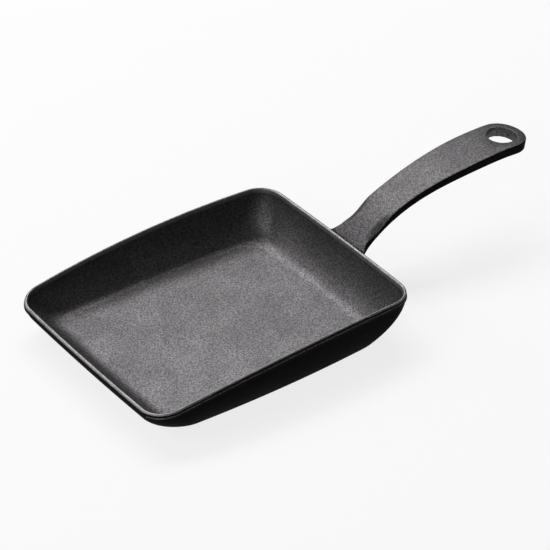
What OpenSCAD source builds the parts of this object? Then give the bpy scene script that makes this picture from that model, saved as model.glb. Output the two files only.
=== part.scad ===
/* [Dish] */
// Outside length of the rim, along the handle
rim_length = 180.4; // [170:0.2:195]
// Outside width of the rim, across the handle
rim_width = 149.9; // [138:0.1:160]
// Height of the rim at the short side opposite the handle
front_height = 20.5; // [19.5:0.1:22]
// Height of the rim at the short side that carries the handle
back_height = 30.2; // [29:0.2:31.4]
// Extra height of the rim in the middle of the long sides
rim_crown = 4.3; // [1:0.1:5]
// Outside corner radius of the rim
rim_corner = 16; // [14:0.1:19]
// Corner radius of the base
base_corner = 20.6; // [17:0.1:21]
// How far the short sides of the rim bow out
short_bow = 1.2; // [1:0.1:3]
// How far the long sides of the rim bow out
long_bow = 2.9; // [2:0.1:4]
// How far the short sides of the base bow out
base_short_bow = 1.5; // [1:0.1:3]
// How far the long sides of the base bow out
base_long_bow = 3.5; // [2:0.1:4.5]
// Thickness of the rim
rim_thickness = 2.3; // [2:0.1:3]
// Thickness of the floor
floor_thickness = 3.5; // [3:0.1:4]
// Thickness of the wall where it meets the floor, measured level
wall_foot = 4; // [3.5:0.1:5]

/* [Walls] */
// How far the long walls lean in, from rim to base
long_lean = 9.4; // [8:0.1:11]
// How far the short walls lean in, from rim to base
short_lean = 15; // [13:0.1:15.5]
// Curve of the long walls, 1 is straight
long_curve = 2.1; // [1.6:0.1:2.2]
// Curve of the short walls, 1 is straight
short_curve = 1.6; // [1.5:0.1:1.7]

/* [Rim bead] */
// Height of the upright band under the rim
bead_height = 3.2; // [2.8:0.1:3.6]
// How far the band stands out from the wall
bead_step = 0.6; // [0.5:0.1:0.9]
// How far the rim is set back above the band, on the long sides
lip_step = 0.6; // [0.3:0.1:0.7]
// How far below its top the rim is set back
lip_drop = 2; // [1.6:0.1:2]

/* [Handle] */
// Distance from the dish's centre to the hanging hole
hole_x = 210.4; // [204:0.2:225]
// Radius of the hanging hole
hole_r = 9; // [7:0.1:9.8]
// Width of the handle at its root, before the flare
root_width = 28.4; // [26:0.2:30]
// How far the root's top flares out to each side where it meets the dish
root_flare = 7; // [3:0.2:8]
// Width of the waist
waist_width = 24.1; // [22:0.1:26]
// Width of the grip
grip_width = 29.3; // [28:0.1:32]
// Length of the round end beyond the hole's centre
end_reach = 14.9; // [14:0.1:18]
// Thickness of the handle where it leaves the dish
root_thickness = 4; // [3.8:0.1:4.6]
// Thickness of the handle at its round end
end_thickness = 6.4; // [5.4:0.1:6.8]
// How high the handle climbs above its root
handle_rise = 36.7; // [34:0.1:39]
// How far the tip droops again
tip_droop = 4; // [2:0.1:5]

/* [Hidden] */
iron = [0.21, 0.21, 0.22];

half_length = rim_length / 2;
half_width = rim_width / 2;
rim_height = (front_height + back_height) / 2;
rim_slope = (back_height - front_height) / rim_length;

// Steps around a quarter of the outline, and down a wall
short_steps = 5;
corner_steps = 8;
long_steps = 6;
wall_steps = 8;
fillet_steps = 5;
rim_steps = 6;

// Height and reach of the rounded foot outside, and of the fillet inside
foot_rise = 2.5;
foot_reach = 2.5;
fillet_rise = 6;
fillet_reach = 7;
inner_corner = 14;

// Height of the wall below the band, outside, and the share of the rim's rise that it follows
bead_foot = rim_height - bead_height - bead_step;
bead_lift = 0.89;

// The handle's top line climbs fast, then flattens, then droops at the tip
root_x = half_length + 1;
root_z = back_height - 8.5;
climb_length = 38.7;
droop_power = 8;
tip_x = hole_x + end_reach;
handle_length = tip_x - root_x;
root_slope = handle_rise / climb_length;
root_angle = atan(root_slope);
waist_x = root_x + 31;
grip_x = root_x + 96;
waist_power = 4;
flare_length = 9;
flare_power = 1.8;
edge_radius = 0.7;
flare_steps = 6;
body_steps = 36;
end_steps = 12;
last_angle = 86;
section_steps = 3;

// The tang under the handle's root, and the seat on the wall that holds it
tang_length = 3;
tang_width = 14;
tang_thickness = 2;
seat_depth = 3.5;
seat_back = [half_length - 8.5, 9.5];
seat_top = [half_length - 2, back_height - 5.5];

function lerp(a, b, s) = a + (b - a) * s;
function on_circle(centre, radius, angle) = centre + radius * [cos(angle), sin(angle)];

// Radius of the arc that spans two half lengths with the given bow
function bow_radius(half, bow) = (half * half + bow * bow) / (2 * bow);

// One quarter of a bowed rectangle, from the middle of a short side to the middle of a long side,
// with the bows of the base at level 0 and those of the rim at level 1
function quarter(a, b, corner, level) =
    let (
        long_r = bow_radius(a, lerp(base_long_bow, long_bow, level)),
        short_r = bow_radius(b, lerp(base_short_bow, short_bow, level)),
        long_c = [0, b - long_r],
        short_c = [a - short_r, 0],
        gap = norm(short_c - long_c),
        along = (short_c - long_c) / gap,
        reach = (pow(long_r - corner, 2) - pow(short_r - corner, 2) + gap * gap) / (2 * gap),
        rise = sqrt(pow(long_r - corner, 2) - reach * reach),
        corner_c = long_c + reach * along + rise * [along.y, -along.x],
        short_end = atan2(corner_c.y - short_c.y, corner_c.x - short_c.x),
        long_end = atan2(corner_c.y - long_c.y, corner_c.x - long_c.x)
    )
    concat(
        [for (i = [0:short_steps - 1]) on_circle(short_c, short_r, short_end * i / short_steps)],
        [for (i = [0:corner_steps - 1])
            on_circle(corner_c, corner, lerp(short_end, long_end, i / corner_steps))],
        [for (i = [0:long_steps]) on_circle(long_c, long_r, lerp(long_end, 90, i / long_steps))]
    );

// The whole outline, counter-clockwise from above
function outline(a, b, corner, level) =
    let (
        q = quarter(a, b, corner, level),
        n = len(q) - 1,
        half = concat(q, [for (i = [n - 1:-1:0]) [-q[i].x, q[i].y]])
    )
    concat(half, [for (i = [2 * n - 1:-1:1]) [half[i].x, -half[i].y]]);

// How far the rim stands above its middle height at x: it rises to the handle and crowns up
function rim_lift(x) = rim_slope * x + rim_crown * (1 - pow(x / half_length, 2));

// A ring of the dish: insets of the long and short sides, height, and level, which is also the
// share of the rim's lift
function ring(insets, corner, z, level) =
    [for (p = outline(half_length - insets[1], half_width - insets[0], corner, level))
        [p.x, p.y, z + level * rim_lift(p.x)]];

// Share of the wall's height at step i: level steps, then the steps of the fillet
function fall(i, height, rise) =
    i <= wall_steps
        ? i / wall_steps * (1 - rise / height)
        : 1 - rise / height * pow(1 - (i - wall_steps) / fillet_steps, 2);

// Inset at step i of a wall that leans by a power curve and ends in a fillet
function lean_at(i, lean, curve, height, rise, reach) =
    let (
        s = (i - wall_steps) / fillet_steps,
        start = 1 - rise / height,
        at_start = lean * pow(start, curve),
        corner = at_start + lean * curve * pow(start, curve - 1) * (1 - start)
    )
    i <= wall_steps
        ? lean * pow(fall(i, height, rise), curve)
        : pow(1 - s, 2) * at_start + 2 * s * (1 - s) * corner + s * s * (corner + reach);

curves = [long_curve, short_curve];
leans = [long_lean, short_lean];

// Insets of the outside wall at step i, for the long and the short sides
function outer_insets(i) =
    [for (k = [0:1])
        bead_step + lean_at(i, leans[k] - bead_step, curves[k], bead_foot, foot_rise, foot_reach)];

// Inset that the inside wall gains between the rim and the floor
function inner_gain(k) =
    bead_step - rim_thickness + wall_foot
        + (leans[k] - bead_step) * pow(1 - floor_thickness / bead_foot, curves[k]);

inner_height = rim_height - rim_thickness / 2 - floor_thickness;
function inner_insets(i) =
    [for (k = [0:1])
        rim_thickness + lean_at(i, inner_gain(k), curves[k], inner_height, fillet_rise, fillet_reach)];

last_step = wall_steps + fillet_steps;

outer_rings =
    [for (i = [last_step:-1:0])
        let (share = fall(i, bead_foot, foot_rise))
        ring(outer_insets(i), lerp(rim_corner - bead_step, base_corner, share),
            bead_foot * (1 - share), bead_lift * (1 - share))];

// The band, the step above it on the long sides, then the rim, which rounds over to the inside
rim_rings = concat(
    [for (drop = [bead_height, lip_drop + lip_step]) ring([0, 0], rim_corner, rim_height - drop, 1)],
    [ring([lip_step, 0], rim_corner, rim_height - lip_drop, 1)],
    [for (i = [0:rim_steps])
        let (
            angle = 180 * i / rim_steps,
            over = (1 - cos(angle)) / 2
        )
        ring([lerp(lip_step, rim_thickness, over), rim_thickness * over],
            rim_corner - rim_thickness * over,
            rim_height - rim_thickness / 2 * (1 - sin(angle)), 1)]
);

inner_rings =
    [for (i = [1:last_step])
        let (share = fall(i, inner_height, fillet_rise))
        ring(inner_insets(i), lerp(rim_corner - rim_thickness, inner_corner, share),
            floor_thickness + inner_height * (1 - share), 1 - share)];

// A closed skin over rings that all have the same number of points
module skin(rings) {
    m = len(rings[0]);
    n = len(rings);
    polyhedron(
        points = [for (r = rings) each r],
        faces = concat(
            [[for (j = [0:m - 1]) j]],
            [for (k = [0:n - 2], j = [0:m - 1]) [k * m + j, (k + 1) * m + j, (k + 1) * m + (j + 1) % m]],
            [for (k = [0:n - 2], j = [0:m - 1]) [k * m + j, (k + 1) * m + (j + 1) % m, k * m + (j + 1) % m]],
            [[for (j = [m - 1:-1:0]) (n - 1) * m + j]]
        )
    );
}

// Height and slope of the handle's top line
function top_z(x) =
    root_z + handle_rise * (1 - exp((root_x - x) / climb_length))
        - tip_droop * pow((x - root_x) / handle_length, droop_power);
function top_slope(x) =
    root_slope * exp((root_x - x) / climb_length)
        - tip_droop * droop_power / handle_length * pow((x - root_x) / handle_length, droop_power - 1);

// Half a cosine wave between 0 and 1
function ease(s) = (1 - cos(180 * min(max(s, 0), 1))) / 2;

// Half the handle's width before the round end: root, waist, grip, and what the flare adds on top
function half_width_at(x) =
    (x < waist_x
        ? lerp(waist_width, root_width, pow((waist_x - x) / (waist_x - root_x), waist_power))
        : lerp(waist_width, grip_width, ease((x - waist_x) / (grip_x - waist_x)))) / 2;
function flare_at(x) = root_flare * pow(max(0, 1 - (x - root_x) / flare_length), flare_power);
function thickness_at(x) = lerp(root_thickness, end_thickness, (x - root_x) / handle_length);

// A rounded section across the handle, square to its top line, with half its width below and on top
function section(x, half, half_top) =
    let (
        angle = atan(top_slope(x)),
        thickness = thickness_at(x),
        r = min(edge_radius, half * 0.9)
    )
    [for (q = [0:3], i = [0:section_steps])
        let (
            turn = 90 * (q + i / section_steps),
            y = (q == 0 || q == 3 ? 1 : -1) * ((q < 2 ? half_top : half) - r) + r * cos(turn),
            depth = (q < 2 ? r : thickness - r) - r * sin(turn)
        )
        [x + depth * sin(angle), y, top_z(x) - depth * cos(angle)]];

handle_sections = concat(
    [for (i = [0:flare_steps - 1])
        let (x = root_x + flare_length * i / flare_steps)
        section(x, half_width_at(x), half_width_at(x) + flare_at(x))],
    [for (i = [0:body_steps])
        let (x = lerp(root_x + flare_length, hole_x, i / body_steps))
        section(x, half_width_at(x), half_width_at(x))],
    [for (i = [1:end_steps])
        let (
            angle = last_angle * i / end_steps,
            half = grip_width / 2 * cos(angle)
        )
        section(hole_x + end_reach * sin(angle), half, half)]
);

// The frame of the handle's root: x out along the handle, z square to its top
module at_root() {
    translate([root_x, 0, root_z]) rotate([0, -root_angle, 0]) children();
}

// The tang, and the same block as the socket that it fills
module tang(overlap) {
    at_root()
        translate([-tang_length, -tang_width / 2, -(root_thickness + tang_thickness) / 2])
            cube([tang_length + overlap, tang_width, tang_thickness]);
}

// The raised seat on the wall, square to the handle's root
module seat() {
    face_foot = [root_x, root_z] + root_thickness * [sin(root_angle), -cos(root_angle)];
    heel = face_foot - seat_depth * [cos(root_angle), sin(root_angle)];
    rotate([90, 0, 0])
        linear_extrude(root_width + 2 * root_flare, center = true)
            polygon([seat_back, heel, face_foot, [root_x, root_z], seat_top]);
}

module pan_body() {
    color(iron)
        difference() {
            union() {
                skin(concat(outer_rings, rim_rings, inner_rings));
                seat();
            }
            tang(1);
        }
}

module handle() {
    color(iron)
        difference() {
            union() {
                skin(handle_sections);
                tang(2);
            }
            translate([hole_x, 0, top_z(hole_x)])
                rotate([0, -atan(top_slope(hole_x)), 0])
                    translate([0, 0, -end_thickness * 2])
                        cylinder(r = hole_r, h = end_thickness * 4, $fn = 64);
        }
}

pan_body();
handle();
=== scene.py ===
import math

import bmesh
import bpy
from bpy.props import FloatProperty, FloatVectorProperty, PointerProperty
from mathutils import Matrix, Vector


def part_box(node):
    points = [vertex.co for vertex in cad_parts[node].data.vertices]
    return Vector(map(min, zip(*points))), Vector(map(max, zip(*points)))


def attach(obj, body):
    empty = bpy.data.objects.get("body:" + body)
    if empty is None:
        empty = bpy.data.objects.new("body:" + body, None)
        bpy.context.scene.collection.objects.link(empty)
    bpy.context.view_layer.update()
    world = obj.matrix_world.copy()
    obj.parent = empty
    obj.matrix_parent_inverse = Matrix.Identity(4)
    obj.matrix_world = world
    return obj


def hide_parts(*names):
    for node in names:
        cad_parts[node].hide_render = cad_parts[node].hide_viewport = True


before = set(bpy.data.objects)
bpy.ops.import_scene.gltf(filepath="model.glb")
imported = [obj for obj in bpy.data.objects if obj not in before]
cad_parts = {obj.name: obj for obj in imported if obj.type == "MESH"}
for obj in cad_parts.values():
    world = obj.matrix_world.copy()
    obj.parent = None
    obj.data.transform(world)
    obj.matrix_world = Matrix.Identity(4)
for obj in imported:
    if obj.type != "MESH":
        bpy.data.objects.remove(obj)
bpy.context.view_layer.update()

bl_info = {
    "name": "Omelette Pan",
    "version": (1, 0, 0),
    "blender": (4, 5, 0),
    "location": "View3D > Sidebar > Omelette Pan",
    "description": "Dresses the packed frame of a rectangular cast iron omelette pan",
    "category": "Add Mesh",
}

DISH_LOW, DISH_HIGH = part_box("pan_body")
HANDLE_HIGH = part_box("handle")[1]
# Length of the handle's round end beyond the hole's centre
END_REACH = 0.0149


def length(name, description, default):
    """A length that a user can change, in metres."""
    return FloatProperty(
        name=name, description=description, default=default, min=0, unit="LENGTH", precision=4
    )


def number(name, description, default, low=0.0, high=100.0):
    """A plain number that a user can change."""
    return FloatProperty(name=name, description=description, default=default, min=low, max=high)


def colour(name, description, default):
    """A colour that a user can change."""
    return FloatVectorProperty(
        name=name, description=description, default=default, subtype="COLOR", min=0, max=1
    )


def power(name, description, default):
    """The power of a lamp, which a user can change."""
    return FloatProperty(
        name=name, description=description, default=default, min=0, unit="POWER"
    )


class PanDishSizes(bpy.types.PropertyGroup):
    """Sizes of the dish."""

    rim_length: length("Rim length", "Outside length, along the handle", -2 * DISH_LOW.x)
    rim_width: length("Rim width", "Outside width, across the handle", 2 * DISH_HIGH.y)
    front_height: length("Front height", "Rim height opposite the handle", 0.0205)
    back_height: length("Back height", "Rim height at the handle", 0.0302)
    rim_crown: length("Rim crown", "Extra height in the middle of the long sides", 0.0043)
    rim_corner: length("Rim corner", "Outside corner radius of the rim", 0.016)
    base_corner: length("Base corner", "Corner radius of the base", 0.0206)
    short_bow: length("Short bow", "How far the rim's short sides bow out", 0.0012)
    long_bow: length("Long bow", "How far the rim's long sides bow out", 0.0029)
    base_short_bow: length("Base short bow", "How far the base's short sides bow out", 0.0015)
    base_long_bow: length("Base long bow", "How far the base's long sides bow out", 0.0035)
    rim_thickness: length("Rim thickness", "Thickness of the rounded rim", 0.0023)
    floor_thickness: length("Floor thickness", "Thickness of the floor", 0.0035)
    wall_foot: length("Wall foot", "Thickness of the wall at the floor", 0.004)
    long_lean: length("Long lean", "How far the long walls lean in", 0.0094)
    short_lean: length("Short lean", "How far the short walls lean in", 0.015)
    long_curve: number("Long curve", "Curve of the long walls, 1 is straight", 2.1, 1, 3)
    short_curve: number("Short curve", "Curve of the short walls, 1 is straight", 1.6, 1, 3)
    bead_height: length("Bead height", "Height of the upright band under the rim", 0.0032)
    bead_step: length("Bead step", "How far that band stands out", 0.0006)
    lip_step: length("Lip step", "Set-back of the rim above the band, on the long sides", 0.0006)
    lip_drop: length("Lip drop", "How far below its top the rim is set back", 0.002)


class PanHandleSizes(bpy.types.PropertyGroup):
    """Sizes of the handle."""

    hole_x: length("Hole distance", "From the dish's centre to the hole", HANDLE_HIGH.x - END_REACH)
    hole_radius: length("Hole radius", "Radius of the hanging hole", 0.009)
    root_width: length("Root width", "Width at the root, before the flare", 0.0284)
    root_flare: length("Root flare", "How far the root's top flares out to each side", 0.007)
    waist_width: length("Waist width", "Width of the waist", 0.0241)
    grip_width: length("Grip width", "Width of the grip", 0.0293)
    end_reach: length("End reach", "From the hole's centre to the round end's tip", END_REACH)
    root_thickness: length("Root thickness", "Thickness at the dish", 0.004)
    end_thickness: length("End thickness", "Thickness at the round end", 0.0064)
    rise: length("Rise", "How high the handle climbs above its root", 0.0367)
    droop: length("Droop", "How far the tip droops again", 0.004)
    edge_radius: length("Edge radius", "Rounding of the long edges", 0.0007)
    scoop_width: length("Scoop width", "Width of the flat cut along the waist's edge", 0.004)
    scoop_depth: length("Scoop depth", "Depth of that cut at the edge", 0.0022)


class PanIronLook(bpy.types.PropertyGroup):
    """Look of the cast iron."""

    dark: colour("Iron", "Colour of the seasoned iron", (0.047, 0.043, 0.046))
    pale: colour("Fleck", "Colour of the raised grains", (0.145, 0.141, 0.145))
    # Painted sheen: the floor and low walls are this many times paler
    floor_sheen: number("Scoured floor", "How much paler the floor is, which is scraped most", 1.45)
    # Painted highlight: edges and the rim's crown are lightened towards this colour
    edge_highlight: colour("Worn edge", "Colour of the iron where edges are rubbed bare", (0.39, 0.38, 0.38))
    # Painted shade: faces that don't look up are near-black in this colour
    shade_black: colour("Soot", "Colour of the outside, which is left as cast", (0.003, 0.0026, 0.003))
    grain: length("Grain size", "Size of the casting's grain", 0.0011)
    roughness: number("Roughness", "Roughness of the smooth inside", 0.42, 0.05, 1)
    relief: length("Relief", "Height of the grain", 0.00020)


class PanStageLook(bpy.types.PropertyGroup):
    """Floor and light around the pan."""

    floor: colour("Floor", "Colour of the plain floor", (0.9, 0.9, 0.9))
    clean: number("Clean floor", "Share of plain white in the floor as it is seen", 0.8, 0, 1)
    ambient: number("Ambient", "Strength of the even light from all round", 0.1, 0, 5)
    main_light: power("Main light", "Power of the wide softbox above and behind the pan", 32)
    corner_light: power("Corner light", "Power of the low softbox behind the left corner", 4)
    left_light: power("Left light", "Power of the softbox opposite the handle", 8)
    front_light: power("Front light", "Power of the softbox left of the camera", 6)


def blend(a, b, share):
    """The value between a and b at that share of the way."""
    return a + (b - a) * share


def on_circle(centre, radius, angle):
    """A point on a circle in the plane."""
    return Vector((centre[0] + radius * math.cos(angle), centre[1] + radius * math.sin(angle)))


def bow_radius(half, bow):
    """Radius of the arc that spans two half lengths with that bow."""
    return (half * half + bow * bow) / (2 * bow)


# Steps along half a short side, round a corner and along half a long side
OUTLINE_STEPS = (12, 16, 14)


def quarter(half_long, half_wide, corner, bows):
    """One quarter of a bowed rectangle, from the middle of a short side to that of a long side."""
    long_radius = bow_radius(half_long, bows[0])
    short_radius = bow_radius(half_wide, bows[1])
    long_centre = Vector((0, half_wide - long_radius))
    short_centre = Vector((half_long - short_radius, 0))
    gap = (short_centre - long_centre).length
    along = (short_centre - long_centre) / gap
    reach = ((long_radius - corner) ** 2 - (short_radius - corner) ** 2 + gap * gap) / (2 * gap)
    rise = math.sqrt((long_radius - corner) ** 2 - reach * reach)
    corner_centre = long_centre + along * reach + Vector((along.y, -along.x)) * rise
    to_short = corner_centre - short_centre
    to_long = corner_centre - long_centre
    short_end = math.atan2(to_short.y, to_short.x)
    long_end = math.atan2(to_long.y, to_long.x)
    arcs = (
        (short_centre, short_radius, 0, short_end),
        (corner_centre, corner, short_end, long_end),
        (long_centre, long_radius, long_end, math.pi / 2),
    )
    points = [
        on_circle(centre, radius, blend(start, end, i / steps))
        for (centre, radius, start, end), steps in zip(arcs, OUTLINE_STEPS)
        for i in range(steps)
    ]
    return points + [Vector((0, half_wide))]


def outline(half_long, half_wide, corner, bows):
    """The whole bowed rectangle, counter-clockwise from above."""
    part = quarter(half_long, half_wide, corner, bows)
    half = part + [Vector((-p.x, p.y)) for p in reversed(part[:-1])]
    return half + [Vector((p.x, -p.y)) for p in reversed(half[1:-1])]


def ring(dish, insets, corner, height, level):
    """A ring of the dish, inset from the rim's long and short sides.

    Level 0 has the base's bows, and level 1 has the rim's bows and its rise.
    """
    half_long, half_wide = dish.rim_length / 2, dish.rim_width / 2
    slope = (dish.back_height - dish.front_height) / dish.rim_length
    bows = (
        blend(dish.base_long_bow, dish.long_bow, level),
        blend(dish.base_short_bow, dish.short_bow, level),
    )
    flat = outline(half_long - insets[1], half_wide - insets[0], corner, bows)
    return [
        Vector((p.x, p.y, height + level
                * (slope * p.x + dish.rim_crown * (1 - (p.x / half_long) ** 2))))
        for p in flat
    ]


def wall_profile(lean, curve, height, rise, reach, steps):
    """Share of the height and inset down a wall that leans in and ends in a fillet."""
    wall_steps, fillet_steps = steps
    start = 1 - rise / height
    at_start = lean * start**curve
    turn = at_start + lean * curve * start ** (curve - 1) * (1 - start)
    down = []
    for i in range(wall_steps):
        share = start * i / wall_steps
        down.append((share, lean * share**curve))
    for i in range(fillet_steps + 1):
        s = i / fillet_steps
        inset = (1 - s) ** 2 * at_start + 2 * s * (1 - s) * turn + s * s * (turn + reach)
        down.append((1 - rise / height * (1 - s) ** 2, inset))
    return down


def skin(bm, rings):
    """Draws a skin through rings of one count, from a circle that is bent onto the first."""
    made = bmesh.ops.create_circle(bm, segments=len(rings[0]), radius=1)
    loop = sorted(made["verts"], key=lambda v: math.atan2(v.co.y, v.co.x) % (2 * math.pi))
    for vert, place in zip(loop, rings[0]):
        vert.co = place
    loops = [loop]
    for places in rings[1:]:
        loops.append(grow(bm, loops[-1], places, True))
    return loops


def grow(bm, line, places, closed):
    """Extrudes a line of vertices to new places, and gives the new line in the same order."""
    count = len(line)
    pairs = range(count if closed else count - 1)
    edges = [bm.edges.get((line[i], line[(i + 1) % count])) for i in pairs]
    made = bmesh.ops.extrude_edge_only(bm, edges=edges)
    new = {v for v in made["geom"] if isinstance(v, bmesh.types.BMVert)}
    grown = [
        next(e.other_vert(v) for e in v.link_edges if e.other_vert(v) in new) for v in line
    ]
    for vert, place in zip(grown, places):
        vert.co = place
    return grown


def loop_edges(bm, loop):
    """The edges of a closed loop of vertices."""
    return [bm.edges.get((loop[i], loop[(i + 1) % len(loop)])) for i in range(len(loop))]


def finished(bm, name):
    """Turns a closed bmesh into a smooth object at the origin."""
    bmesh.ops.recalc_face_normals(bm, faces=bm.faces)
    for face in bm.faces:
        face.smooth = True
    mesh = bpy.data.meshes.new(name)
    bm.to_mesh(mesh)
    bm.free()
    piece = bpy.data.objects.new(name, mesh)
    bpy.context.scene.collection.objects.link(piece)
    return piece


# Fillets of the walls, outside at the underside and inside at the floor, and the inside's corner
FOOT_RISE, FOOT_REACH = 0.0025, 0.0025
FILLET_RISE, FILLET_REACH = 0.006, 0.007
INNER_CORNER = 0.014
# Share of the rim's rise and bows that the wall has right under the upright band
BEAD_LIFT = 0.89
# Steps down a wall and round its fillet, outside and inside, and steps round the rim
OUTER_STEPS, INNER_STEPS, RIM_STEPS = (10, 8), (12, 14), 12
# How far in from the fillets the rings of the underside and of the floor lie
FLAT_RINGS = (0.002, 0.006, 0.014)
# Numbers of the rings, from the first to the one after the last: those from the band's foot to
# its set-back, whose edges are made crisp, and those of the crown, which gets a painted highlight
CRISP_START = len(FLAT_RINGS) + sum(OUTER_STEPS)
CRISP_END = CRISP_START + 4
HIGHLIT_START = CRISP_END + 2
HIGHLIT_END = CRISP_END + RIM_STEPS + 2
CRISP_WIDTH = 0.0002
# Outside faces that look up more than this are seasoned as the inside is, the rest painted shade
SHOULDER_SLOPE = 0.3


def dish_rings(dish):
    """All rings of the dish, from the underside round the rim to the floor."""
    height = (dish.front_height + dish.back_height) / 2
    step, rim = dish.bead_step, dish.rim_thickness
    bead_foot = height - dish.bead_height - step
    leans = (dish.long_lean, dish.short_lean)
    curves = (dish.long_curve, dish.short_curve)
    outer = [
        wall_profile(lean - step, curve, bead_foot, FOOT_RISE, FOOT_REACH, OUTER_STEPS)
        for lean, curve in zip(leans, curves)
    ]
    rings = []
    foot = [side[-1][1] + step for side in outer]
    for inset in reversed(FLAT_RINGS):
        rings.append(ring(dish, [f + inset for f in foot], dish.base_corner, 0, 0))
    for (share, long_in), (_, short_in) in reversed(list(zip(*outer))):
        corner = blend(dish.rim_corner - step, dish.base_corner, share)
        rings.append(ring(dish, (long_in + step, short_in + step), corner,
                          bead_foot * (1 - share), BEAD_LIFT * (1 - share)))
    lip = dish.lip_step
    band = ((0, dish.bead_height), (0, dish.lip_drop + lip), (lip, dish.lip_drop))
    for long_in, drop in band:
        rings.append(ring(dish, (long_in, 0), dish.rim_corner, height - drop, 1))
    for i in range(RIM_STEPS + 1):
        angle = math.pi * i / RIM_STEPS
        over = (1 - math.cos(angle)) / 2
        rings.append(ring(dish, (blend(lip, rim, over), rim * over), dish.rim_corner - rim * over,
                          height - rim / 2 * (1 - math.sin(angle)), 1))
    depth = height - rim / 2 - dish.floor_thickness
    inner = []
    for lean, curve in zip(leans, curves):
        at_floor = (lean - step) * (1 - dish.floor_thickness / bead_foot) ** curve
        inner.append(wall_profile(step - rim + dish.wall_foot + at_floor, curve, depth,
                                  FILLET_RISE, FILLET_REACH, INNER_STEPS))
    for (share, long_in), (_, short_in) in list(zip(*inner))[1:]:
        corner = blend(dish.rim_corner - rim, INNER_CORNER, share)
        rings.append(ring(dish, (long_in + rim, short_in + rim), corner,
                          dish.floor_thickness + depth * (1 - share), 1 - share))
    foot = [side[-1][1] + rim for side in inner]
    for inset in FLAT_RINGS:
        rings.append(ring(dish, [f + inset for f in foot], INNER_CORNER,
                          dish.floor_thickness, 0))
    return rings


# The raised seat: how far its heel lies behind the handle's root, and its two inner corners,
# each so far in from the rim's end, the lower one at that height and the upper one below the rim
SEAT_DEPTH = 0.0035
SEAT_BACK = (0.0085, 0.0095)
SEAT_TOP = (0.002, 0.0055)
# How far out from the rim's end and how far below the rim the handle starts
ROOT_GAP = 0.001
ROOT_DROP = 0.0085


def add_seat(bm, dish, line):
    """The raised seat on the wall, square to the handle's root."""
    half_long, handle = dish.rim_length / 2, line.sizes
    root = Vector((line.root_x, line.root_z))
    angle = math.atan(line.slope(line.root_x))
    foot = root + handle.root_thickness * Vector((math.sin(angle), -math.cos(angle)))
    heel = foot - SEAT_DEPTH * Vector((math.cos(angle), math.sin(angle)))
    side = [
        Vector((half_long - SEAT_BACK[0], SEAT_BACK[1])), heel, foot, root,
        Vector((half_long - SEAT_TOP[0], dish.back_height - SEAT_TOP[1])),
    ]
    half_width = handle.root_width / 2 + handle.root_flare
    verts = [bm.verts.new((p.x, -half_width, p.y)) for p in side]
    face = bm.faces.new(verts)
    # The whole seat is near-black: a painted shade under the handle's root
    face.material_index = SHADE_BLACK
    made = bmesh.ops.extrude_face_region(bm, geom=[face])
    moved = [v for v in made["geom"] if isinstance(v, bmesh.types.BMVert)]
    bmesh.ops.translate(bm, vec=(0, 2 * half_width, 0), verts=moved)


# Length over which the climb fades, and how late the tip's droop sets in
CLIMB = 0.0387
DROOP_POWER = 8
# Distances out from the root: the waist, the grip's full width and the end of the flare
WAIST_AT, GRIP_AT, FLARE_LENGTH = 0.031, 0.096, 0.009
# How fast the root narrows, and how fast the flare dies away
WAIST_POWER, FLARE_POWER = 4, 1.8
# Distances out from the root at which the scooped edge starts, is full and ends
SCOOP_START, SCOOP_PEAK, SCOOP_END = 0.006, 0.016, 0.029
# Spokes round the hole, those on each side of the handle's middle that go on as its lines, and
# the places of the rings between the hole and the edge
SPOKES, LINES = 64, 7
END_RINGS = (0.5, 1)
# Cross rows from the round end to the flare, and along the flare
LONG_ROWS, FLARE_ROWS = 60, 15
# How soon the scoop draws in two lines on each side, and the share of the width between them
SCOOP_PULL, SCOOP_GAP = 4, 0.05
# Faces of the handle that look up less than this are near-black painted shade, and those this
# near its root a painted shadow in the crease behind the rim
TOP_SLOPE = 0.7
CREASE = 0.0038
# Faces within this many radii are the hole's wall, and its rounding is this share of the rest's
HOLE_MARGIN, HOLE_EDGE = 1.05, 0.5
# Numbers and lengths smaller than these count as nothing
NIL, NIL_LENGTH = 1e-9, 1e-6


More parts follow.
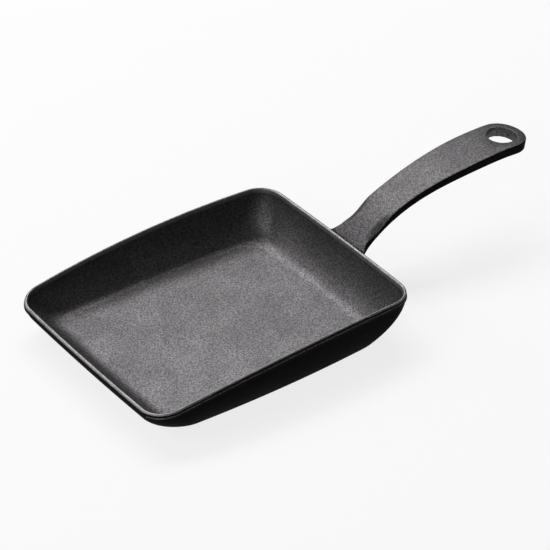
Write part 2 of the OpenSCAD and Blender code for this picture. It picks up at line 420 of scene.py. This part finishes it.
class HandleLine:
    """The handle's top line, width and thickness at each distance along it."""

    def __init__(self, dish, handle):
        self.sizes = handle
        self.root_x = dish.rim_length / 2 + ROOT_GAP
        self.root_z = dish.back_height - ROOT_DROP
        self.length = handle.hole_x + handle.end_reach - self.root_x

    def top(self, x):
        """Height of the top line."""
        out = x - self.root_x
        return (self.root_z + self.sizes.rise * (1 - math.exp(-out / CLIMB))
                - self.sizes.droop * (out / self.length) ** DROOP_POWER)

    def slope(self, x):
        """Slope of the top line."""
        out = x - self.root_x
        droop = self.sizes.droop * DROOP_POWER / self.length
        return (self.sizes.rise / CLIMB * math.exp(-out / CLIMB)
                - droop * (out / self.length) ** (DROOP_POWER - 1))

    def half_width(self, x):
        """Half the width before the round end: root, waist, grip."""
        out = x - self.root_x
        sizes = self.sizes
        if out < WAIST_AT:
            share = ((WAIST_AT - out) / WAIST_AT) ** WAIST_POWER
            return blend(sizes.waist_width, sizes.root_width, share) / 2
        share = min((out - WAIST_AT) / (GRIP_AT - WAIST_AT), 1)
        eased = (1 - math.cos(math.pi * share)) / 2
        return blend(sizes.waist_width, sizes.grip_width, eased) / 2

    def flare(self, x):
        """What the root's flare adds to each side of the top."""
        out = x - self.root_x
        return self.sizes.root_flare * max(0, 1 - out / FLARE_LENGTH) ** FLARE_POWER

    def thickness(self, x):
        """Thickness, square to the top line."""
        share = (x - self.root_x) / self.length
        return blend(self.sizes.root_thickness, self.sizes.end_thickness, share)

    def scoop(self, x):
        """Share of the scooped edge's full size."""
        out = x - self.root_x
        if out < SCOOP_PEAK:
            share = (out - SCOOP_START) / (SCOOP_PEAK - SCOOP_START)
        else:
            share = (SCOOP_END - out) / (SCOOP_END - SCOOP_PEAK)
        share = min(max(share, 0), 1)
        return share * share * (3 - 2 * share)

    def bent(self, flat):
        """Where a point of the straight handle lies on the bent one."""
        x, y, depth = flat.x, flat.y, -flat.z
        share = min(depth / self.thickness(x), 1)
        half, flare = self.half_width(x), self.flare(x)
        y *= (half + flare * (1 - share)) / (half + flare)
        cut = max(0, 1 - (half - abs(y)) / self.sizes.scoop_width) * self.sizes.scoop_depth
        depth += cut * self.scoop(x) * (1 - share)
        angle = math.atan(self.slope(x))
        return Vector((x + depth * math.sin(angle), y, self.top(x) - depth * math.cos(angle)))


def end_outline(handle, angle, row_distance):
    """Distance from the hole's centre to the handle's edge, or to the nearest cross row."""
    half = handle.grip_width / 2
    c, s = math.cos(angle), abs(math.sin(angle))
    if c > NIL:
        return 1 / math.sqrt((c / handle.end_reach) ** 2 + (s / half) ** 2)
    to_side = half / s if s > NIL else math.inf
    to_row = row_distance / -c if c < -NIL else math.inf
    return min(to_side, to_row)


def row_places(line, x, shares):
    """One cross row of the straight handle, with two lines drawn in along the scooped edge."""
    half = line.half_width(x) + line.flare(x)
    cut_share = 1 - line.sizes.scoop_width / half
    pull = min(1, SCOOP_PULL * line.scoop(x))
    places = []
    for i, share in zip(range(-LINES, LINES + 1), shares):
        size = abs(share)
        if abs(i) == LINES - 1:
            size = blend(size, cut_share, pull)
        if abs(i) == LINES - 2:
            size = blend(size, cut_share - SCOOP_GAP, pull)
        places.append(Vector((x, math.copysign(size, share) * half, 0)))
    return places


def straight_handle(bm, line):
    """The handle before it is bent: rings round the hole, then rows back to the root."""
    handle = line.sizes
    centre = Vector((handle.hole_x, 0, 0))
    made = bmesh.ops.create_circle(
        bm, segments=SPOKES, radius=handle.hole_radius, matrix=Matrix.Translation(centre)
    )
    turn = 2 * math.pi / SPOKES
    loop = sorted(
        made["verts"], key=lambda v: round(math.atan2(v.co.y, v.co.x - centre.x) / turn) % SPOKES
    )
    row_distance = handle.grip_width / 2 / math.tan(turn * LINES)
    for share in END_RINGS:
        places = []
        for i in range(SPOKES):
            edge = end_outline(handle, turn * i, row_distance)
            reach = blend(handle.hole_radius, edge, share)
            places.append(centre + reach * Vector((math.cos(turn * i), math.sin(turn * i), 0)))
        loop = grow(bm, loop, places, True)
    middle = SPOKES // 2
    row = [loop[middle + i] for i in range(LINES, -LINES - 1, -1)]
    shares = [v.co.y / (handle.grip_width / 2) for v in row]
    flare_end = line.root_x + FLARE_LENGTH
    stations = [blend(row[0].co.x, flare_end, i / LONG_ROWS) for i in range(1, LONG_ROWS + 1)]
    stations += [
        line.root_x + FLARE_LENGTH * (1 - i / FLARE_ROWS) for i in range(1, FLARE_ROWS + 1)
    ]
    for x in stations:
        row = grow(bm, row, row_places(line, x, shares), False)
    made = bmesh.ops.extrude_face_region(bm, geom=bm.faces[:])
    for vert in made["geom"]:
        if isinstance(vert, bmesh.types.BMVert):
            vert.co.z = -line.thickness(vert.co.x)


def below(vert):
    """Whether a vertex of the straight handle lies below its top."""
    return vert.co.z < -NIL_LENGTH


def wall_edges(bm, test):
    """Edges between a level face and an upright one, on the upright faces that pass the test."""
    found = []
    for edge in bm.edges:
        if len(edge.link_faces) != 2 or below(edge.verts[0]) != below(edge.verts[1]):
            continue
        upright = [f for f in edge.link_faces if len({below(v) for v in f.verts}) == 2]
        if len(upright) == 1 and test(upright[0].calc_center_median()):
            found.append(edge)
    return found


class Signal:
    """A shader socket that takes part in plain sums."""

    def __init__(self, net, socket):
        self.net = net
        self.socket = socket

    def _sum(self, operation, first, second):
        return self.net.add("ShaderNodeMath", {"operation": operation}, {0: first, 1: second})

    def __add__(self, other):
        return self._sum("ADD", self, other)

    def __radd__(self, other):
        return self._sum("ADD", other, self)

    def __sub__(self, other):
        return self._sum("SUBTRACT", self, other)

    def __mul__(self, other):
        return self._sum("MULTIPLY", self, other)


# Places of a mix node's sockets for colours, whose names it also gives to sockets of other types
MIX_FIRST, MIX_SECOND, MIX_RESULT = 6, 7, 2


class Net:
    """The nodes of one material or world."""

    def __init__(self, owner):
        owner.use_nodes = True
        self.tree = owner.node_tree
        self.tree.nodes.clear()

    def add(self, kind, settings=None, inputs=None, output=0):
        """Adds a node: its settings first, then values or links for its sockets."""
        node = self.tree.nodes.new(kind)
        for name, value in (settings or {}).items():
            setattr(node, name, value)
        for name, value in (inputs or {}).items():
            if isinstance(value, Signal):
                self.tree.links.new(value.socket, node.inputs[name])
            else:
                node.inputs[name].default_value = value
        return Signal(self, node.outputs[output]) if node.outputs else None

    def noise(self, place, size, detail, roughness=0.5):
        """Noise from 0 to 1 with features of that size in metres."""
        return self.add("ShaderNodeTexNoise", {}, {
            "Vector": place, "Scale": 1 / size, "Detail": detail, "Roughness": roughness,
        })

    def span(self, value, low, high, to_low=0.0, to_high=1.0):
        """The value, taken from one range smoothly to another."""
        return self.add("ShaderNodeMapRange", {"interpolation_type": "SMOOTHSTEP"}, {
            "Value": value, "From Min": low, "From Max": high,
            "To Min": to_low, "To Max": to_high,
        })

    def seen(self):
        """1 for what the camera sees, also mirrored or through glass, and 0 for light on things."""
        camera, glossy, through = (
            self.add("ShaderNodeLightPath", output=name)
            for name in ("Is Camera Ray", "Is Glossy Ray", "Is Transmission Ray")
        )
        settings = {"operation": "ADD", "use_clamp": True}
        return self.add("ShaderNodeMath", settings, {0: camera + glossy, 1: through})

    def mix(self, share, first, second):
        """A colour between two colours."""
        inputs = {0: share, MIX_FIRST: first, MIX_SECOND: second}
        return self.add("ShaderNodeMix", {"data_type": "RGBA"}, inputs, MIX_RESULT)


def rgba(value, tone=1):
    """A colour, paler by that factor, with full alpha."""
    return (*(tone * part for part in value), 1.0)


def surface(name):
    """A material, its nodes, and the place on the piece."""
    material = bpy.data.materials.new(name)
    net = Net(material)
    return material, net, net.add("ShaderNodeTexCoord", output="Object")


# Size of the iron's dust against its grain, and sizes of its patches and clouds
DUST_SHARE = 0.5
PATCH_SIZE, CLOUD_SIZE = 0.006, 0.024
# Heights over which the painted sheen ends, at the floor's edge and up the wall, and the share
# of it that ends at the floor's edge
FLOOR_FADE, WALL_FADE = (0.0035, 0.0048), (0.008, 0.018)
FLOOR_SHARE = 0.7
# Pointiness of an edge that starts to get the painted highlight, and of one that gets all of it
EDGE_FADE = (0.53, 0.60)


def seasoned_iron(name, look, crown_highlight):
    """Smooth iron under an oil film with pale flecks, a painted sheen on the floor and painted
    highlights on edges.
    """
    material, net, place = surface(name)
    grain = net.noise(place, look.grain, 2)
    dust = net.noise(place, look.grain * DUST_SHARE, 1)
    cloud = net.noise(place, CLOUD_SIZE, 3, 0.55)
    patch = net.noise(place, PATCH_SIZE, 2)
    height = net.add("ShaderNodeSeparateXYZ", {}, {"Vector": place}, "Z")
    # The floor and the low walls are painted paler and given more coat: a painted sheen
    floor = net.span(height, *FLOOR_FADE, 1.0, 0.0)
    low_wall = net.span(height, *WALL_FADE, 1.0, 0.0)
    shining = floor * FLOOR_SHARE + low_wall * (1 - FLOOR_SHARE)
    fleck = net.span(grain * 0.6 + dust * 0.4, 0.38, 0.64)
    # Edges, and the whole crown in the third finish, are painted paler and more metallic: a painted
    # highlight
    edge = net.span(net.add("ShaderNodeNewGeometry", output="Pointiness"), *EDGE_FADE)
    highlit = edge * 0.6 + net.span(patch, 0.3, 0.6, 0.6 * crown_highlight, crown_highlight)
    plain, floor_sheen = (
        net.mix(fleck, rgba(look.dark, tone), rgba(look.pale, tone))
        for tone in (1, look.floor_sheen)
    )
    base = net.mix(shining, plain, floor_sheen)
    tinted = net.mix(net.span(cloud, 0.3, 0.7, 0.0, 0.3), base, rgba(look.dark))
    relief = net.add("ShaderNodeBump", {}, {
        "Strength": 1.0, "Distance": look.relief,
        "Height": grain * 0.7 + dust * 0.3 + patch * 0.5,
    })
    shader = net.add("ShaderNodeBsdfPrincipled", {}, {
        "Base Color": net.mix(highlit, tinted, rgba(look.edge_highlight)),
        "Metallic": 0.6 + highlit * 0.3,
        "Roughness": look.roughness + (cloud - 0.5) * 0.10 + (patch - 0.5) * 0.08,
        "Specular IOR Level": 0.3,
        "Specular Tint": (0.25, 0.25, 0.25, 1.0),
        "Coat Weight": 0.1 + fleck * 0.15 + shining * 0.1,
        "Coat Roughness": 0.42,
        "Normal": relief,
    })
    net.add("ShaderNodeOutputMaterial", {}, {"Surface": shader})
    return material


# Sizes of the patches and clouds on the near-black iron of painted shade, and how many times
# paler its raised grains are and rougher it is
SAND_PATCH, SAND_CLOUD = 0.005, 0.03
SAND_TONE, SAND_RELIEF = 2.2, 1.5


def shade_black_iron(name, look):
    """Near-black iron that paints shade on faces that don't look up: dull, with a rough skin."""
    material, net, place = surface(name)
    grain = net.noise(place, look.grain, 3, 0.6)
    patch = net.noise(place, SAND_PATCH, 3)
    cloud = net.noise(place, SAND_CLOUD, 2)
    raised = net.span(grain * 0.6 + cloud * 0.4, 0.42, 0.7)
    base = net.mix(raised, rgba(look.shade_black), rgba(look.shade_black, SAND_TONE))
    relief = net.add("ShaderNodeBump", {}, {
        "Strength": 1.0, "Distance": look.relief * SAND_RELIEF,
        "Height": grain * 0.7 + patch * 0.6,
    })
    shader = net.add("ShaderNodeBsdfPrincipled", {}, {
        "Base Color": base,
        "Roughness": 0.82 + (cloud - 0.5) * 0.2 + (grain - 0.5) * 0.15,
        "Specular IOR Level": 0.04,
        "Normal": relief,
    })
    net.add("ShaderNodeOutputMaterial", {}, {"Surface": shader})
    return material


# Numbers of the finishes, the second near-black as painted shade and the third paler as a
# painted highlight, and the most of that highlight, on the rim's crown
SEASONED, SHADE_BLACK, HIGHLIT = range(3)
HIGHLIT_SHARE = 0.55


def dress(piece, look):
    """Gives a piece its finishes, in the order of their numbers."""
    name = piece.name
    finishes = (
        seasoned_iron(name + " seasoned iron", look, 0.0),
        shade_black_iron(name + " as-cast iron", look),
        seasoned_iron(name + " rubbed iron", look, HIGHLIT_SHARE),
    )
    for finish in finishes:
        piece.data.materials.append(finish)


class OMELETTE_PAN_OT_dish(bpy.types.Operator):
    """Models the dish with its walls, rounded rim and handle seat."""

    bl_idname = "omelette_pan.dish"
    bl_label = "Dish"

    def execute(self, context):
        """Skins the dish through its rings and closes it."""
        scene = context.scene
        dish = scene.pan_dish
        bm = bmesh.new()
        loops = skin(bm, dish_rings(dish))
        for loop in (loops[0], loops[-1]):
            bmesh.ops.edgeloop_fill(bm, edges=loop_edges(bm, loop))
        bm.normal_update()
        outside = {v for loop in loops[:HIGHLIT_START + 1] for v in loop}
        crown = {v for loop in loops[HIGHLIT_START:HIGHLIT_END] for v in loop}
        # The crown gets a painted highlight, and outside faces that don't look up near-black
        # painted shade
        for face in bm.faces:
            if crown.issuperset(face.verts):
                face.material_index = HIGHLIT
            elif outside.issuperset(face.verts) and face.normal.z < SHOULDER_SLOPE:
                face.material_index = SHADE_BLACK
        crisp = [e for loop in loops[CRISP_START:CRISP_END] for e in loop_edges(bm, loop)]
        bmesh.ops.bevel(bm, geom=crisp, offset=CRISP_WIDTH, segments=2, profile=0.5,
                        affect="EDGES", material=-1)
        add_seat(bm, dish, HandleLine(dish, scene.pan_handle))
        piece = finished(bm, "dish")
        dress(piece, scene.pan_iron)
        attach(piece, "root")
        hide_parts("pan_body")
        return {"FINISHED"}


class OMELETTE_PAN_OT_handle(bpy.types.Operator):
    """Models the flat handle with its waist, scooped edges, round end and hanging hole."""

    bl_idname = "omelette_pan.handle"
    bl_label = "Handle"

    def execute(self, context):
        """Makes the handle flat, rounds its edges and bends it to its line."""
        scene = context.scene
        handle = scene.pan_handle
        line = HandleLine(scene.pan_dish, handle)
        bm = bmesh.new()
        straight_handle(bm, line)
        bmesh.ops.recalc_face_normals(bm, faces=bm.faces)

        def in_hole(p):
            return math.hypot(p.x - handle.hole_x, p.y) < handle.hole_radius * HOLE_MARGIN

        def on_side(p):
            return not in_hole(p) and p.x > line.root_x + NIL_LENGTH

        for test, share, segments in ((on_side, 1, 4), (in_hole, HOLE_EDGE, 3)):
            bmesh.ops.bevel(bm, geom=wall_edges(bm, test), offset=handle.edge_radius * share,
                            segments=segments, profile=0.5, affect="EDGES", material=-1)
        bm.normal_update()
        # Faces that don't look up get near-black painted shade, those at the root a painted shadow
        for face in bm.faces:
            middle = face.calc_center_median()
            if in_hole(middle):
                face.material_index = SEASONED
            elif face.normal.z < TOP_SLOPE or middle.x < line.root_x + CREASE:
                face.material_index = SHADE_BLACK
        for vert in bm.verts:
            vert.co = line.bent(vert.co)
        piece = finished(bm, "flat_handle")
        dress(piece, scene.pan_iron)
        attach(piece, "root")
        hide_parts("handle")
        return {"FINISHED"}


# The camera's place, the side and height it looks from, its lens and its sensor's width
EYE = Vector((-0.716916, -1.037105, 0.924114))
AZIMUTH, ELEVATION = math.radians(-36.206), math.radians(35.053)
LENS, SENSOR = 178.603, 36
# Half the side of the plain floor, and how far it lies under the pan
FLOOR_HALF, FLOOR_DROP = 6, 0.0001
WHITE = (1, 1, 1, 1)
# Name, place, width and height of each softbox
SOFTBOXES = (
    ("main", (0.37, 1.18, 1.58), 2.0, 0.7),
    ("corner", (-1.08, 1.38, 0.97), 0.8, 0.6),
    ("left", (-1.48, 0.40, 1.29), 0.8, 0.8),
    ("front", (-1.57, -0.91, 0.85), 0.8, 0.8),
)


def aim(thing, place, direction):
    """Puts a lamp or a camera in its place and turns it to look in that direction."""
    thing.location = place
    thing.rotation_mode = "QUATERNION"
    thing.rotation_quaternion = direction.to_track_quat("-Z", "Y")
    bpy.context.scene.collection.objects.link(thing)


def softbox(name, place, width, height, watts):
    """A wide lamp that faces the pan."""
    lamp = bpy.data.lights.new(name, "AREA")
    lamp.shape = "RECTANGLE"
    lamp.size, lamp.size_y, lamp.energy = width, height, watts
    aim(bpy.data.objects.new(name, lamp), place, -Vector(place))


class OMELETTE_PAN_OT_stage(bpy.types.Operator):
    """Lays the plain floor and sets the soft studio light and the camera."""

    bl_idname = "omelette_pan.stage"
    bl_label = "Stage"

    def execute(self, context):
        """Makes floor, light and camera."""
        scene = context.scene
        look = scene.pan_stage
        bm = bmesh.new()
        bmesh.ops.create_grid(bm, x_segments=1, y_segments=1, size=FLOOR_HALF)
        floor = finished(bm, "studio_floor")
        floor.data.transform(Matrix.Translation((0, 0, -FLOOR_DROP)))
        paint = bpy.data.materials.new("studio floor")
        net = Net(paint)
        matt = net.add("ShaderNodeBsdfDiffuse", {}, {"Color": rgba(look.floor)})
        white = net.add("ShaderNodeEmission", {}, {"Color": WHITE, "Strength": 1.0})
        share = net.seen() * look.clean
        shader = net.add("ShaderNodeMixShader", {}, {0: share, 1: matt, 2: white})
        net.add("ShaderNodeOutputMaterial", {}, {"Surface": shader})
        floor.data.materials.append(paint)

        world = bpy.data.worlds.new("studio")
        scene.world = world
        net = Net(world)
        sky = net.add("ShaderNodeBackground", {}, {"Color": WHITE, "Strength": look.ambient})
        net.add("ShaderNodeOutputWorld", {}, {"Surface": sky})

        for name, place, width, height in SOFTBOXES:
            watts = getattr(look, name + "_light")
            softbox(name + " softbox", place, width, height, watts)

        camera = bpy.data.cameras.new("camera")
        camera.lens, camera.sensor_width = LENS, SENSOR
        eye = bpy.data.objects.new("camera", camera)
        flat = math.cos(ELEVATION)
        back = Vector((math.sin(AZIMUTH) * flat, -math.cos(AZIMUTH) * flat, math.sin(ELEVATION)))
        aim(eye, EYE, -back)
        scene.camera = eye
        scene.view_settings.view_transform = "Standard"
        return {"FINISHED"}


class OMELETTE_PAN_PT_panel(bpy.types.Panel):
    """Sizes, look and steps of the omelette pan."""

    bl_label = "Omelette Pan"
    bl_idname = "OMELETTE_PAN_PT_panel"
    bl_space_type = "VIEW_3D"
    bl_region_type = "UI"
    bl_category = "Omelette Pan"

    def draw(self, context):
        """Lists the settings, then one button for each step."""
        for name in GROUPS:
            box = self.layout.box()
            group = getattr(context.scene, name)
            for prop in group.__annotations__:
                box.prop(group, prop)
        for operator in OPERATORS:
            self.layout.operator(operator.bl_idname)


GROUPS = {
    "pan_dish": PanDishSizes,
    "pan_handle": PanHandleSizes,
    "pan_iron": PanIronLook,
    "pan_stage": PanStageLook,
}
OPERATORS = (OMELETTE_PAN_OT_dish, OMELETTE_PAN_OT_handle, OMELETTE_PAN_OT_stage)
CLASSES = (*GROUPS.values(), *OPERATORS, OMELETTE_PAN_PT_panel)


def register():
    """Registers the classes and hangs the settings on the scene."""
    for made in CLASSES:
        bpy.utils.register_class(made)
    for name, group in GROUPS.items():
        setattr(bpy.types.Scene, name, PointerProperty(type=group))


def unregister():
    """Takes back what register did."""
    for name in GROUPS:
        delattr(bpy.types.Scene, name)
    for made in reversed(CLASSES):
        bpy.utils.unregister_class(made)


def main():
    """Builds the pan and its stage."""
    register()
    bpy.ops.omelette_pan.dish()
    bpy.ops.omelette_pan.handle()
    bpy.ops.omelette_pan.stage()


if __name__ == "__main__":
    main()
